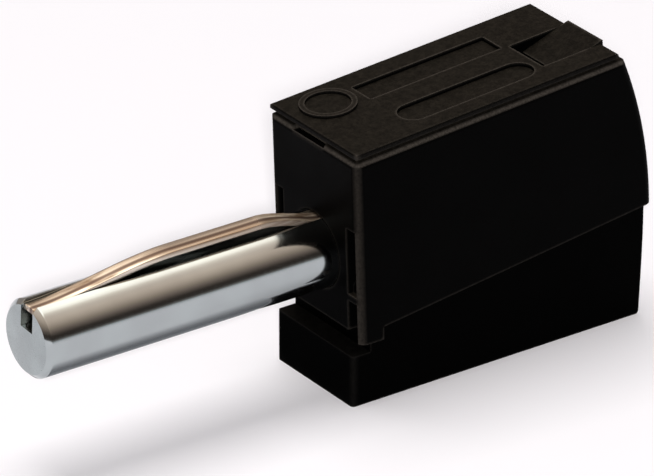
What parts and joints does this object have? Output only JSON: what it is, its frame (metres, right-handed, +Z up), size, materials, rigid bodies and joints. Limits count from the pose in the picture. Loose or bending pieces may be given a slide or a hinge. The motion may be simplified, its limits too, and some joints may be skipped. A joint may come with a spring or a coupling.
{
  "type": "banana plug",
  "caption": "Rectangular moulded banana plug with a bright slotted contact pin, a bowed contact leaf, a rear conductor entry and a spring clamp worked by a screwdriver slot.",
  "frame": {"origin": "middle of the plug's overall box, on the flat underside that it stands on", "axes": "+X from the pin's tip towards the conductor entry, +Y across the plug, +Z up from the resting face to the top"},
  "size_m": [0.0347, 0.0074, 0.0152],
  "materials": {
    "housing": "moulded polyamide, satin",
    "pin": "bright nickel plating over brass",
    "leaf": "bright rolled copper alloy strip",
    "bar": "tinned copper",
    "spring": "rolled spring steel strip"
  },
  "bodies": {
    "housing": {"housing_cover": "housing", "housing_base": "housing", "contact_pin": "pin", "current_bar": "bar"},
    "leaf": {"contact_leaf": "leaf"},
    "clamp": {"clamp_spring": "spring"}
  },
  "joints": [
    {"name": "leaf_press", "type": "slide", "parent": "housing", "child": "leaf", "axis": [0, 0.0698, -0.9976], "range_m": [0, 0.00065], "stiffness_N_per_m": 2000},
    {"name": "clamp_open", "type": "hinge", "parent": "housing", "child": "clamp", "pos_m": [0.00881, 0, 0.00573], "axis": [0, 1, 0], "range_deg": [0, 26], "stiffness_Nm_per_rad": 0.05, "springref_deg": -8.59}
  ]
}
